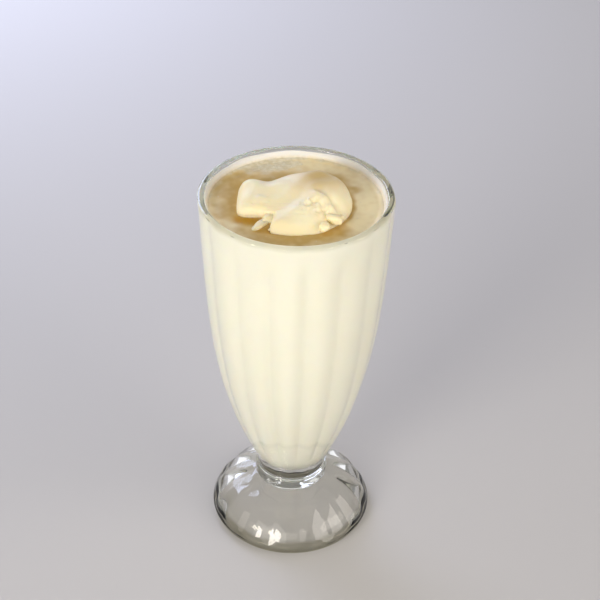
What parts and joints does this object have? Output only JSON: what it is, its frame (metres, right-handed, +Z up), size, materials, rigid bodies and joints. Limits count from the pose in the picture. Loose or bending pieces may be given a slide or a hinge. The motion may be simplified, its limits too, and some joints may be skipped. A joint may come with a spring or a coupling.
{
  "type": "vanilla milkshake in a glass",
  "caption": "Vanilla milkshake in a clear fluted soda glass on a domed foot, with a scoop of vanilla ice cream floating on top.",
  "frame": {"origin": "centre of the foot's base, on the surface that the glass stands on", "axes": "+Z up along the glass's axis, -Y towards the viewer of the picture, +X to the viewer's right"},
  "size_m": [0.0824, 0.0824, 0.1813],
  "materials": {
    "clear_glass": "clear pressed glass, polished",
    "vanilla_milkshake": "opaque creamy liquid, wet",
    "vanilla_ice_cream": "soft, half-melted ice cream, satin"
  },
  "bodies": {
    "root": {"glass": "clear_glass", "milkshake": "vanilla_milkshake", "ice_cream_scoop": "vanilla_ice_cream"}
  },
  "joints": []
}
